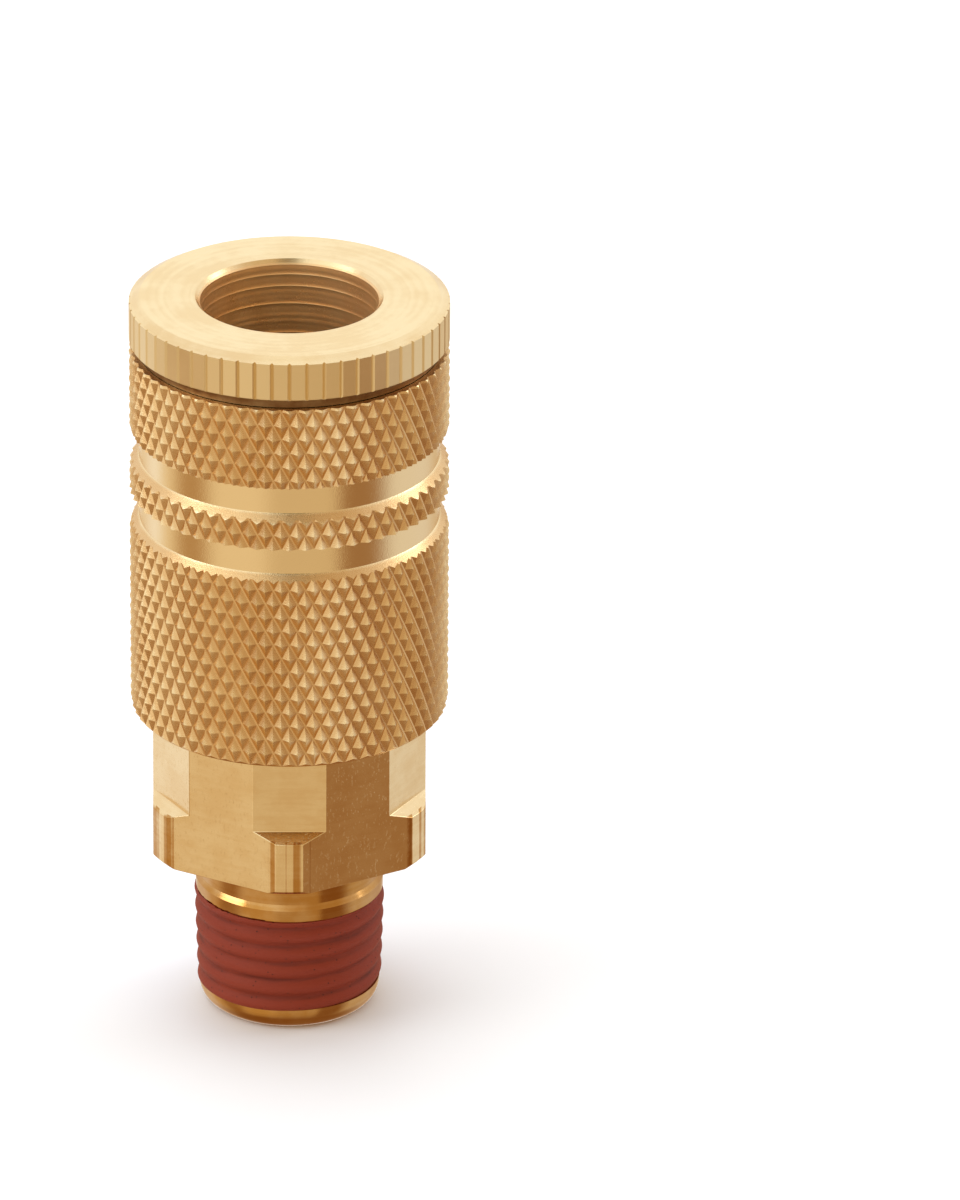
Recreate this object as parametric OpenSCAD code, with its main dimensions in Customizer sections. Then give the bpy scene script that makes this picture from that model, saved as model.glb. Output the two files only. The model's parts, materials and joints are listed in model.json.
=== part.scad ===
// Quick disconnect coupler for compressed air: a six-ball socket with a sliding
// release sleeve, a shut-off valve and a male tapered pipe thread.
// Millimetres. The origin is the centre of the thread's end face, and +Z runs
// along the axis to the mouth. Two flats of the hexagon face +X and -X.
// Diameters grow outward from the plug's bore by named walls, steps and gaps.

/* [Overall] */
// Length from the thread's end face to the mouth
total_length = 56.3; // [54:0.1:68]
// Wall of the release sleeve over its widest bore
sleeve_wall = 1.17; // [0.9:0.01:3]

/* [Front flange] */
// How far the flange stands beyond the sleeve's diameter, on the radius
flange_step = 0; // [0:0.05:1]
// Height of the flange's knurled rim and bevel
flange_h = 3.25; // [2.4:0.05:4.5]
// Width of the bevel round the flange's front edge
flange_bevel_w = 0.75; // [0.2:0.05:1.2]
// Height of that bevel
flange_bevel_h = 0.4; // [0.2:0.05:1]
// Height of the shadow gap between the flange and the sleeve
flange_gap = 0.8; // [0.3:0.05:1.5]
// Depth of that gap, down to the collar that stops the sleeve
flange_gap_depth = 0.67; // [0.3:0.01:0.8]
// Length of the collar that the front of the sleeve slides on
guide_collar_h = 2.95; // [1.5:0.05:3.1]

/* [Plug socket] */
// Diameter of the bore at the mouth
mouth_bore_d = 13.0; // [12:0.1:16]
// Width of the mouth's lead-in
mouth_lead_w = 0.34; // [0.1:0.01:0.6]
// Depth of the mouth's lead-in
mouth_lead_h = 0.36; // [0.2:0.01:1.5]
// Depth of the mouth bore
mouth_bore_depth = 7.0; // [5:0.1:7.5]
// Step from the mouth bore in to the bore among the balls
ball_bore_step = 0.2; // [0.1:0.05:0.4]
// Wall of the socket's tube at the balls
tube_wall = 2.2; // [1.8:0.05:2.8]
// Diameter of the hole that the valve shuts
throat_d = 8.4; // [8.2:0.1:10]
// Depth of the valve seat below the mouth
seat_depth = 19.3; // [18.6:0.1:20]
// Thickness of the valve seat's wall
seat_wall = 2.4; // [1.8:0.1:2.8]
// Wall of the tube round the valve chamber
chamber_wall = 1.5; // [1.2:0.1:1.8]

/* [Locking balls] */
// Diameter of a locking ball
ball_d = 3.5; // [3:0.1:4.2]
// Depth of the balls below the mouth
ball_depth = 9.8; // [9.6:0.1:10.2]
// How far a locked ball stands into the bore
ball_reach = 0.8; // [0.6:0.05:1]
// How far behind the bore's wall a released ball lies
ball_clear = 0.15; // [0.05:0.05:0.3]
// Amount by which the narrow end of a ball's hole is smaller than the hole
ball_lip_step = 0.16; // [0.14:0.01:0.2]
// Thickness of that inner lip
ball_lip_t = 0.2; // [0.1:0.05:0.25]

/* [Release sleeve] */
// How far the sleeve slides back
sleeve_travel = 4.0; // [3.4:0.1:4.2]
// Height of the adapter's collar that shows below the sleeve
collar_shows = 5.85; // [5:0.05:7]
// Height of the front knurled band
front_band_h = 6.2; // [4:0.1:7]
// Height of the middle knurled band
middle_band_h = 2.0; // [1.5:0.05:4]
// Height of each plain groove's floor
groove_floor_h = 2.1; // [1.2:0.05:3]
// Height of the slope behind each groove
groove_slope_h = 0.7; // [0.1:0.05:0.9]
// Depth of each groove
groove_depth = 0.7; // [0.3:0.05:0.85]
// Size of the bevel on the sleeve's back edge
sleeve_back_bevel = 0.4; // [0.1:0.05:0.7]
// Angle of the ramp that the balls run up, from the axis
ramp_angle = 30; // [28:1:34]
// Distance from the balls' plane forward to the start of the ramp
ramp_lead = 0.3; // [0.2:0.05:0.4]
// Length of the land that holds the balls in
land_length = 3.5; // [3:0.1:3.6]
// Width of the shoulder behind the land, for the front washer
land_shoulder = 1.0; // [0.9:0.05:1.3]

/* [Adapter] */
// Wall of the adapter's collar at the middle of a hexagon's flat
collar_wall = 1.5; // [1.2:0.05:2]
// How far the turned corners of the hexagon stand beyond its flats
corner_height = 1.0; // [0.7:0.05:1.4]
// Length of the threaded shank below the hexagon
shank_length = 13.3; // [11:0.1:16]
// Height of the full hexagon below the corner pockets
hex_height = 4.7; // [3:0.1:6]
// Height of the collar above the hexagon
collar_height = 10.0; // [9.8:0.1:12]
// Angle of the pockets' sloping ledges, below level
ledge_angle = 33; // [20:1:50]
// Depth of the socket's seat in the collar
collar_seat_depth = 8.0; // [6.5:0.1:9]
// Step from the chamber in the tube in to the chamber in the adapter
chamber_step = 0.4; // [0.2:0.1:0.8]
// Height of the valve chamber's floor above the shank
chamber_floor = 0.7; // [0.5:0.1:1.5]
// Diameter of the air passage
passage_d = 8.0; // [7:0.1:8.4]

/* [Pipe thread] */
// Diameter over the thread's crests at the end face
thread_d = 13.26; // [13:0.02:13.6]
// Taper of the thread, on its diameter, one part in this many
thread_taper = 16; // [14:1:20]
// Diameter of the end face
thread_end_d = 11.2; // [10:0.1:12]
// Height of the bevel at the thread's end
thread_end_bevel = 1.5; // [0.8:0.1:2]
// Height of bare crest between the bevel and the sealant
bare_end = 0.25; // [0.1:0.05:1]
// Height of the bare neck between the sealant and the hexagon
bare_neck = 4.2; // [2:0.1:6]
// Depth of the relief turned into the neck, next to the hexagon
neck_relief = 0.22; // [0.1:0.02:0.4]
// Share of the neck's height that the relief takes
neck_relief_share = 0.76; // [0.4:0.02:0.8]
// Thickness of the sealant coat
sealant_t = 0.12; // [0.08:0.01:0.2]

/* [Springs and washers] */
// Wire diameter of the sleeve's spring
sleeve_wire_d = 1.0; // [0.8:0.05:1.2]
// Rise of one open turn of the sleeve's spring
sleeve_pitch = 2.1; // [1.6:0.05:3]
// Wire diameter of the valve's spring
valve_wire_d = 0.8; // [0.6:0.05:0.96]
// Rise of one open turn of the valve's spring
valve_pitch = 2.5; // [2:0.05:4]
// Thickness of the two washers
washer_t = 0.6; // [0.4:0.05:0.8]

/* [Valve] */
// Air space round the valve's head in its chamber
valve_head_gap = 1.4; // [1.2:0.1:1.7]
// Thickness of the valve's head
valve_head_t = 2.2; // [1.6:0.1:2.6]
// Diameter of the valve's stem
valve_stem_d = 2.4; // [2:0.1:2.8]
// Margin of the valve's head beyond its spring
valve_spring_margin = 0.2; // [0.1:0.05:0.4]
// Height of the spigot that centres the valve spring
valve_spigot_h = 0.8; // [0.5:0.1:1.2]
// How far the plug pushes the valve back
valve_travel = 3.5; // [3:0.1:3.6]
// Distance left below the stem's end when the valve is open
stem_reserve = 0.3; // [0.1:0.1:1]
// Thickness of the valve's rubber washer
valve_seal_t = 1.25; // [1:0.05:1.6]
// Diameter of the post that holds the washer and the nose
valve_post_d = 3.0; // [2.6:0.1:3.4]
// Length of that post inside the nose
valve_post_grip = 0.55; // [0.3:0.05:0.6]
// Air space round the valve's nose in the throat
nose_gap = 0.6; // [0.4:0.05:0.8]
// Height of the valve's nose
nose_h = 1.65; // [1.5:0.05:1.9]
// Width of the air slots across the nose
nose_slot_w = 1.2; // [0.8:0.1:1.6]
// Depth of the air slots
nose_slot_h = 0.9; // [0.5:0.05:0.95]

/* [Valve guide] */
// Thickness of the guide's plate
guide_plate_t = 1.5; // [1:0.1:2]
// Wall of the guide's hub
guide_hub_wall = 0.75; // [0.6:0.05:0.8]
// Height of the guide's hub
guide_hub_h = 7.5; // [6:0.1:8]
// Number of air holes in the guide
guide_hole_count = 5; // [3:1:6]
// Web left between an air hole and the hub, and outside it
guide_hole_web = 0.2; // [0.1:0.05:0.4]

/* [Seals] */
// Inner diameter of the plug's seal
plug_seal_bore_d = 7.6; // [7.4:0.1:7.8]
// Thickness of the plug's seal
plug_seal_t = 2.5; // [2:0.1:2.6]
// Depth of the plug seal's groove beyond the ball bore
plug_seal_groove = 0.9; // [0.5:0.05:1]
// Section diameter of the O-ring round the tube
o_ring_section_d = 0.84; // [0.7:0.02:0.9]
// Height of the O-ring's groove
o_ring_groove_h = 1.2; // [1:0.05:1.4]
// Distance from the tube's back end to the O-ring's groove
o_ring_offset = 1.2; // [0.8:0.1:2]

/* [Fits] */
// Gap between faces that rest on each other and move apart
rest_gap = 0.05; // [0.02:0.01:0.1]
// Radial gap where the sleeve slides on the front guide collar
slide_gap = 0.08; // [0.05:0.01:0.1]
// Radial gap where the sleeve passes over the adapter's twelve-sided collar
skirt_gap = 0.15; // [0.1:0.01:0.2]
// Distance that the pulled sleeve's inner step stays in front of that collar
skirt_reserve = 1.5; // [0.5:0.1:2.5]
// Radial gap of the stem in its guide
stem_gap = 0.05; // [0.02:0.01:0.1]
// Radial gap round a ball in its hole
ball_gap = 0.05; // [0.03:0.01:0.08]
// Gap between a locked ball and the sleeve's land
land_gap = 0.2; // [0.15:0.01:0.25]
// Gap between a released ball and the sleeve's relief
relief_gap = 0.2; // [0.15:0.01:0.25]
// Radial gap between pieces that are screwed or pressed together
seat_gap = 0.02; // [0.01:0.01:0.05]
// Radial gap of the washers on the tube and in the sleeve
washer_gap = 0.1; // [0.05:0.01:0.2]
// Radial gap of the valve spring on its spigot
spigot_gap = 0.4; // [0.3:0.05:0.6]

/* [Hidden] */

$fn = 96;
ball_count = 6;         // one node each
over = 1;               // how far a cut runs past the face it opens
spring_sides = 8;       // sides of a spring's wire
spring_steps = 24;      // rings of points in one turn of a spring
closed_turns = 0.9;     // turns at each end of a spring that lie flat
closed_pitch = 1.06;    // their rise, in wire diameters

// Radii of the socket, from the plug's bore outward
mouth_bore_r = mouth_bore_d / 2;
ball_bore_r = mouth_bore_r - ball_bore_step;
tube_r = ball_bore_r + tube_wall;
chamber_r = tube_r - chamber_wall;
adapter_chamber_r = chamber_r - chamber_step;
seal_groove_r = ball_bore_r + plug_seal_groove;

// Radii of the balls, of the sleeve's bores over them and of the washers inside it
ball_pitch_r = ball_bore_r - ball_reach + ball_d / 2;
ball_travel = ball_reach + ball_clear;
ball_hole_d = ball_d + 2 * ball_gap;
ball_lip_d = ball_hole_d - 2 * ball_lip_step;
land_r = ball_pitch_r + ball_d / 2 + land_gap;
relief_r = ball_pitch_r + ball_travel + ball_d / 2 + relief_gap;
guide_r = relief_r - slide_gap;
pocket_r = land_r + land_shoulder;
washer_in_r = tube_r + washer_gap;
washer_out_r = pocket_r - 2 * washer_gap;
sleeve_spring_r = (tube_r + pocket_r) / 2;

// Radii of the adapter, and of what goes round it
hex_af = 2 * max(tube_r + collar_wall, washer_out_r * cos(15));
hex_corner_r = hex_af / 2 + corner_height;
collar_corner_r = hex_af / 2 / cos(15);
skirt_r = collar_corner_r + skirt_gap;
sleeve_r = max(skirt_r, pocket_r, relief_r) + sleeve_wall;
flange_r = sleeve_r + flange_step;
stop_collar_r = sleeve_r - flange_gap_depth;

// Heights of the adapter
hex_top = shank_length + hex_height;
collar_top = hex_top + collar_height;
tube_bottom = collar_top - collar_seat_depth;
passage_length = shank_length + chamber_floor;
sealant_from = thread_end_bevel + bare_end;
sealant_to = shank_length - bare_neck;
relief_from = shank_length - bare_neck * neck_relief_share;

// Heights of the socket, measured back from the mouth
flange_bottom = total_length - flange_h;
sleeve_front = flange_bottom - flange_gap;
stop_z = sleeve_front + rest_gap;
guide_bottom = stop_z - guide_collar_h;
mouth_bore_bottom = total_length - mouth_bore_depth;
ball_z = total_length - ball_depth;
seat_z = total_length - seat_depth;
seal_z = seat_z + seat_wall;

// Heights inside the sleeve
sleeve_back = hex_top + collar_shows;
skirt_top = collar_top + sleeve_travel + skirt_reserve;
ramp_z = ball_z + ramp_lead;
ramp_top = ramp_z + (relief_r - land_r) / tan(ramp_angle);
land_back = ramp_z - land_length;

// Heights of the sleeve's bands and grooves
groove_h = groove_floor_h + groove_slope_h;
front_groove_top = sleeve_front - front_band_h;
rear_groove_top = front_groove_top - groove_h - middle_band_h;

// Heights of the washers and of the sleeve's spring between them
thrust_washer_z = land_back - rest_gap - washer_t;
sleeve_spring_z = collar_top + washer_t;

// The valve and its spring
valve_head_r = chamber_r - valve_head_gap;
valve_seal_z = seat_z - rest_gap - valve_seal_t;
valve_head_z = valve_seal_z - valve_head_t;
valve_stem_end = passage_length + valve_travel + stem_reserve;
valve_spring_r = valve_head_r - valve_spring_margin - valve_wire_d / 2;
valve_spring_z = passage_length + guide_plate_t;
valve_spigot_r = valve_spring_r - valve_wire_d / 2 - spigot_gap;
nose_z = valve_seal_z + valve_seal_t;
nose_r = throat_d / 2 - nose_gap;

// The valve's guide, with its air holes between the hub and the passage's wall
guide_bore_r = valve_stem_d / 2 + stem_gap;
guide_hub_r = guide_bore_r + guide_hub_wall;
guide_hole_r = (passage_d / 2 - guide_hub_r) / 2 - guide_hole_web;
guide_hole_pitch_r = (passage_d / 2 + guide_hub_r) / 2;

// Radius of the pipe thread's crests at a height
function thread_r(z) = thread_d / 2 + z / thread_taper / 2;

// Place something at each of n equal turns about the axis
module around(n) {
    for (i = [0 : n - 1]) rotate([0, 0, i * 360 / n]) children();
}

// A flat ring
module ring(inner_r, outer_r, z, h) {
    translate([0, 0, z]) rotate_extrude()
        translate([inner_r, 0]) square([outer_r - inner_r, h]);
}

// A plain hole along the axis
module hole(r, z, h) {
    translate([0, 0, z]) cylinder(r = r, h = h);
}

// A compression spring with closed ends, from one resting face to the other
module coil_spring(mean_r, wire_d, z, length, pitch) {
    wire_r = wire_d / 2;
    closed_rise = closed_turns * closed_pitch * wire_d;
    open_rise = length - wire_d - 2 * closed_rise;
    rings = round((2 * closed_turns + open_rise / pitch) * spring_steps);
    turns = rings / spring_steps;
    open_turns = turns - 2 * closed_turns;
    function rise(t) = t < closed_turns ? t / closed_turns * closed_rise
        : t < turns - closed_turns ? closed_rise + (t - closed_turns) / open_turns * open_rise
        : closed_rise + open_rise + (t - turns + closed_turns) / closed_turns * closed_rise;
    points = [for (i = [0 : rings]) for (j = [0 : spring_sides - 1])
        let (turn = i * 360 / spring_steps, side = j * 360 / spring_sides,
            r = mean_r + wire_r * cos(side),
            h = z + wire_r + rise(i / spring_steps) + wire_r * sin(side))
        [r * cos(turn), r * sin(turn), h]];
    sides = [for (i = [0 : rings - 1]) for (j = [0 : spring_sides - 1])
        let (next = (j + 1) % spring_sides, ring = i * spring_sides, ahead = ring + spring_sides)
        [ring + j, ring + next, ahead + next, ahead + j]];
    start = [for (j = [0 : spring_sides - 1]) spring_sides - 1 - j];
    end = [for (j = [0 : spring_sides - 1]) rings * spring_sides + j];
    polyhedron(points, concat(sides, [start], [end]));
}

// The tapered shank: bevelled end, a recess for the sealant, and a relieved neck
module shank() {
    rotate_extrude() polygon([
        [0, 0],
        [thread_end_d / 2, 0],
        [thread_r(thread_end_bevel), thread_end_bevel],
        [thread_r(sealant_from), sealant_from],
        [thread_r(sealant_from) - sealant_t, sealant_from],
        [thread_r(sealant_to) - sealant_t, sealant_to],
        [thread_r(sealant_to), sealant_to],
        [thread_r(relief_from), relief_from],
        [thread_r(relief_from) - neck_relief, relief_from + neck_relief],
        [thread_r(relief_from) - neck_relief, shank_length + over],
        [0, shank_length + over]]);
}

// One corner pocket: a flat wall at the hexagon's half width and a sloping ledge
module corner_pocket() {
    wall = hex_af / 2;
    ledge_end = hex_top - corner_height * tan(ledge_angle);
    rotate([90, 0, 0]) linear_extrude(hex_af, center = true) polygon([
        [wall, hex_top],
        [hex_corner_r, ledge_end],
        [hex_corner_r + over, ledge_end],
        [hex_corner_r + over, collar_top + over],
        [wall, collar_top + over]]);
}

// The wrench hexagon, with turned corners and its pockets
module wrench_hexagon() {
    difference() {
        intersection() {
            translate([0, 0, shank_length]) rotate([0, 0, 30])
                cylinder(d = hex_af / cos(30), h = collar_top - shank_length, $fn = 6);
            hole(hex_corner_r, shank_length - over, collar_top - shank_length + 2 * over);
        }
        rotate([0, 0, 30]) around(6) corner_pocket();
    }
}

module hex_adapter() {
    color([0.80, 0.62, 0.33]) difference() {
        union() {
            shank();
            wrench_hexagon();
        }
        hole(passage_d / 2, -over, passage_length + 2 * over);
        hole(adapter_chamber_r, passage_length, total_length);
        hole(tube_r + seat_gap, tube_bottom, total_length);
    }
}

// The coat between the recessed thread and its crests
module thread_sealant() {
    color([0.55, 0.20, 0.14]) rotate_extrude() polygon([
        [thread_r(sealant_from) - sealant_t, sealant_from],
        [thread_r(sealant_from), sealant_from],
        [thread_r(sealant_to), sealant_to],
        [thread_r(sealant_to) - sealant_t, sealant_to]]);
}

// The outside of the socket: tube, guide collar, stop collar and flange
module socket_outside() {
    rotate_extrude() polygon([
        [0, tube_bottom],
        [tube_r, tube_bottom],
        [tube_r, guide_bottom],
        [guide_r, guide_bottom],
        [guide_r, stop_z],
        [stop_collar_r, stop_z],
        [stop_collar_r, flange_bottom],
        [flange_r, flange_bottom],
        [flange_r, total_length - flange_bevel_h],
        [flange_r - flange_bevel_w, total_length],
        [0, total_length]]);
}

// The lead-in of the mouth, a cone that opens at the face
module mouth_lead() {
    translate([0, 0, total_length - mouth_lead_h])
        cylinder(r1 = mouth_bore_r, r2 = mouth_bore_r + mouth_lead_w, h = mouth_lead_h);
}

// A ball's radial hole, with a narrow lip at the bore
module ball_hole() {
    translate([0, 0, ball_z]) rotate([0, 90, 0]) {
        translate([0, 0, ball_bore_r + ball_lip_t]) cylinder(d = ball_hole_d, h = tube_wall + over);
        translate([0, 0, ball_bore_r / 2]) cylinder(d = ball_lip_d, h = tube_r / 2 + over);
    }
}

module socket_body() {
    o_ring_z = tube_bottom + o_ring_offset;
    color([0.84, 0.68, 0.40]) difference() {
        socket_outside();
        mouth_lead();
        hole(mouth_bore_r, mouth_bore_bottom, mouth_bore_depth);
        hole(ball_bore_r, seal_z, mouth_bore_bottom - seal_z + over);
        hole(seal_groove_r, seal_z, plug_seal_t + seat_gap);
        hole(throat_d / 2, seat_z - over, seat_wall + 2 * over);
        hole(chamber_r, tube_bottom - over, seat_z - tube_bottom + over);
        around(ball_count) ball_hole();
        ring(tube_r - o_ring_section_d + seat_gap, tube_r + over, o_ring_z, o_ring_groove_h);
    }
}

// The outline of the sleeve's outside, with two plain grooves
module sleeve_outside() {
    floor_r = sleeve_r - groove_depth;
    rotate_extrude() polygon([
        [0, sleeve_back],
        [sleeve_r - sleeve_back_bevel, sleeve_back],
        [sleeve_r, sleeve_back + sleeve_back_bevel],
        [sleeve_r, rear_groove_top - groove_h],
        [floor_r, rear_groove_top - groove_floor_h],
        [floor_r, rear_groove_top],
        [sleeve_r, rear_groove_top],
        [sleeve_r, front_groove_top - groove_h],
        [floor_r, front_groove_top - groove_floor_h],
        [floor_r, front_groove_top],
        [sleeve_r, front_groove_top],
        [sleeve_r, sleeve_front],
        [0, sleeve_front]]);
}

module release_sleeve() {
    color([0.82, 0.62, 0.34]) difference() {
        sleeve_outside();
        rotate_extrude() polygon([
            [0, sleeve_back - over],
            [skirt_r, sleeve_back - over],
            [skirt_r, skirt_top],
            [pocket_r, skirt_top],
            [pocket_r, land_back],
            [land_r, land_back],
            [land_r, ramp_z],
            [relief_r, ramp_top],
            [relief_r, sleeve_front + over],
            [0, sleeve_front + over]]);
    }
}

// A locked ball, at its turn about the axis
module locking_ball(n) {
    color([0.78, 0.79, 0.80]) rotate([0, 0, (n - 1) * 360 / ball_count])
        translate([ball_pitch_r, 0, ball_z]) sphere(d = ball_d);
}

module sleeve_spring() {
    color([0.62, 0.63, 0.65]) coil_spring(sleeve_spring_r, sleeve_wire_d, sleeve_spring_z,
        thrust_washer_z - sleeve_spring_z, sleeve_pitch);
}

module thrust_washer() {
    color([0.70, 0.71, 0.72]) ring(washer_in_r, washer_out_r, thrust_washer_z, washer_t);
}

module spring_washer() {
    color([0.70, 0.71, 0.72]) ring(washer_in_r, washer_out_r, collar_top, washer_t);
}

// The plug's seal, with a bevelled lip towards the mouth
module plug_seal() {
    outer_r = seal_groove_r - seat_gap;
    bevel = plug_seal_t / 3;
    color([0.10, 0.10, 0.11]) rotate_extrude() polygon([
        [plug_seal_bore_d / 2, seal_z],
        [outer_r, seal_z],
        [outer_r, seal_z + plug_seal_t],
        [plug_seal_bore_d / 2 + bevel, seal_z + plug_seal_t],
        [plug_seal_bore_d / 2, seal_z + plug_seal_t - bevel]]);
}

module valve_body() {
    color([0.80, 0.62, 0.33]) {
        hole(valve_stem_d / 2, valve_stem_end, valve_head_z - valve_stem_end);
        hole(valve_spigot_r, valve_head_z - valve_spigot_h, valve_spigot_h);
        hole(valve_head_r, valve_head_z, valve_head_t);
        hole(valve_post_d / 2, valve_seal_z, valve_seal_t + valve_post_grip);
    }
}

module valve_seal() {
    color([0.10, 0.10, 0.11])
        ring(valve_post_d / 2 + seat_gap, valve_head_r, valve_seal_z, valve_seal_t);
}

// The nose nut, with crossed slots for the air
module valve_nose() {
    top = nose_z + nose_h;
    color([0.84, 0.68, 0.40]) difference() {
        hole(nose_r, nose_z, nose_h);
        hole(valve_post_d / 2 + seat_gap, nose_z - over, valve_post_grip + seat_gap + over);
        around(4) translate([0, -nose_slot_w / 2, top - nose_slot_h])
            cube([2 * nose_r, nose_slot_w, nose_slot_h + over]);
    }
}

module valve_spring() {
    color([0.62, 0.63, 0.65]) coil_spring(valve_spring_r, valve_wire_d, valve_spring_z,
        valve_head_z - valve_spring_z, valve_pitch);
}

module valve_guide() {
    color([0.80, 0.62, 0.33]) difference() {
        union() {
            hole(adapter_chamber_r - seat_gap, passage_length, guide_plate_t);
            hole(guide_hub_r, passage_length, guide_hub_h);
        }
        hole(guide_bore_r, passage_length - over, guide_hub_h + 2 * over);
        around(guide_hole_count) translate([guide_hole_pitch_r, 0, 0])
            hole(guide_hole_r, passage_length - over, guide_plate_t + 2 * over);
    }
}

module body_o_ring() {
    z = tube_bottom + o_ring_offset + o_ring_groove_h / 2;
    color([0.10, 0.10, 0.11]) translate([0, 0, z]) rotate_extrude()
        translate([tube_r - o_ring_section_d / 2 + seat_gap, 0])
            circle(d = o_ring_section_d - seat_gap);
}

hex_adapter();
thread_sealant();
socket_body();
release_sleeve();
locking_ball(1);  // locking_ball_1
locking_ball(2);  // locking_ball_2
locking_ball(3);  // locking_ball_3
locking_ball(4);  // locking_ball_4
locking_ball(5);  // locking_ball_5
locking_ball(6);  // locking_ball_6
sleeve_spring();
thrust_washer();
spring_washer();
plug_seal();
valve_body();
valve_seal();
valve_nose();
valve_spring();
valve_guide();
body_o_ring();
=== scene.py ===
# %% [markdown]
# # A quick disconnect coupler
# A compressed-air coupler in brass: a threaded adapter with a wrench hexagon, a socket for
# the plug, and a knurled sleeve that slides back to let the plug go. The engineering model
# gives every piece its size and place. This script loads that model and rebuilds the pieces
# that show, with the tool marks, knurls and finishes that a machined part really has.

# %% Load the engineering model
import json
import math

import bpy
from mathutils import Matrix, Vector


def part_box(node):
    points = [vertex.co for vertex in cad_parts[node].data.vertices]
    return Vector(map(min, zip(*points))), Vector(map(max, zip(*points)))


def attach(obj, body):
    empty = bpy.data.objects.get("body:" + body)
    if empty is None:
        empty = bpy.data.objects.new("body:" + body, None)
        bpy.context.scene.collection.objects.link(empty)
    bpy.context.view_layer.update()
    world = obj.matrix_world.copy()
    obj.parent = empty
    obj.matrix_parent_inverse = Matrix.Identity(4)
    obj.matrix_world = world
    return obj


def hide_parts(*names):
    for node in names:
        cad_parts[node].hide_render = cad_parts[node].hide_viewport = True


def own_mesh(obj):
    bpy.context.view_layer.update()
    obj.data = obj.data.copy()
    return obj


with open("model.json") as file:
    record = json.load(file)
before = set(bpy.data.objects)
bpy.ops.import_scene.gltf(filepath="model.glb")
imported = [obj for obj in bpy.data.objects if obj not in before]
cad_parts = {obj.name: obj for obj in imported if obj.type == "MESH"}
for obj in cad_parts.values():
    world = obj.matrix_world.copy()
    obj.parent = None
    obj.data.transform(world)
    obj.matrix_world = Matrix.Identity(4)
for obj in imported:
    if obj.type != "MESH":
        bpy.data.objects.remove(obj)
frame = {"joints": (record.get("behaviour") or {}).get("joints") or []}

bpy.context.view_layer.update()

# %% [markdown]
# ## Camera
# A long lens a metre away, a little above the coupler, flattens the perspective as in a
# catalogue picture. The coupler stands left of the middle of the view. Aiming the camera
# to one side moves it there, and the camera's up direction is taken square to the X axis,
# so that the coupler's own axis stays upright.

# %% Place the camera
MM = 0.001
CAMERA_ELEVATION = math.radians(24.95)
CAMERA_DISTANCE = 0.9887
CAMERA_LENS = 404.4
CAMERA_SENSOR = 36.0
LOOK_HEIGHT = 28 * MM
AIM_RIGHT = math.radians(0.81)
AIM_UP = math.radians(0.211)

target = Vector((0, 0, LOOK_HEIGHT))
back = Vector((0, -math.cos(CAMERA_ELEVATION), math.sin(CAMERA_ELEVATION)))
sideways = Vector((1, 0, 0))
forward = (-back + sideways * math.tan(AIM_RIGHT)
           - sideways.cross(back) * math.tan(AIM_UP)).normalized()
upward = sideways.cross(forward).normalized()
turn = Matrix((forward.cross(upward), upward, -forward)).transposed()

bpy.ops.object.select_all(action="DESELECT")
bpy.ops.object.camera_add(location=target + back * CAMERA_DISTANCE, rotation=turn.to_euler())
camera = bpy.context.object
camera.data.lens = CAMERA_LENS
camera.data.sensor_width = CAMERA_SENSOR
bpy.context.scene.camera = camera
print("camera at", tuple(round(v, 3) for v in camera.location))

# %% [markdown]
# ## Shader maths
# A material's patterns are sums of coordinates and noises. So that they can be written as
# plain arithmetic, a small class stands for a value on its way through the nodes. Adding
# or multiplying two such values adds the Math node that does it.

# %% Write shader maths as arithmetic
class Flow:
    """A value that runs through a material's nodes."""

    def __init__(self, finish, socket):
        self.finish, self.socket = finish, socket

    def maths(self, operation, *values):
        return self.finish.node("ShaderNodeMath", {"operation": operation},
                                dict(enumerate(values)))

    def __add__(self, other):
        return self.maths("ADD", self, other)

    def __radd__(self, other):
        return self.maths("ADD", other, self)

    def __sub__(self, other):
        return self.maths("SUBTRACT", self, other)

    def __rsub__(self, other):
        return self.maths("SUBTRACT", other, self)

    def __mul__(self, other):
        return self.maths("MULTIPLY", self, other)

    def __rmul__(self, other):
        return self.maths("MULTIPLY", other, self)

    def __truediv__(self, other):
        return self.maths("DIVIDE", self, other)

    def __rtruediv__(self, other):
        return self.maths("DIVIDE", other, self)

    def __pow__(self, other):
        return self.maths("POWER", self, other)

    def __rpow__(self, other):
        return self.maths("POWER", other, self)

    def spread(self, low, high):
        """0 below low and 1 above high, with a soft change between them."""
        return self.finish.node("ShaderNodeMapRange", {"interpolation_type": "SMOOTHSTEP"},
                                {"Value": self, "From Min": low, "From Max": high})


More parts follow.
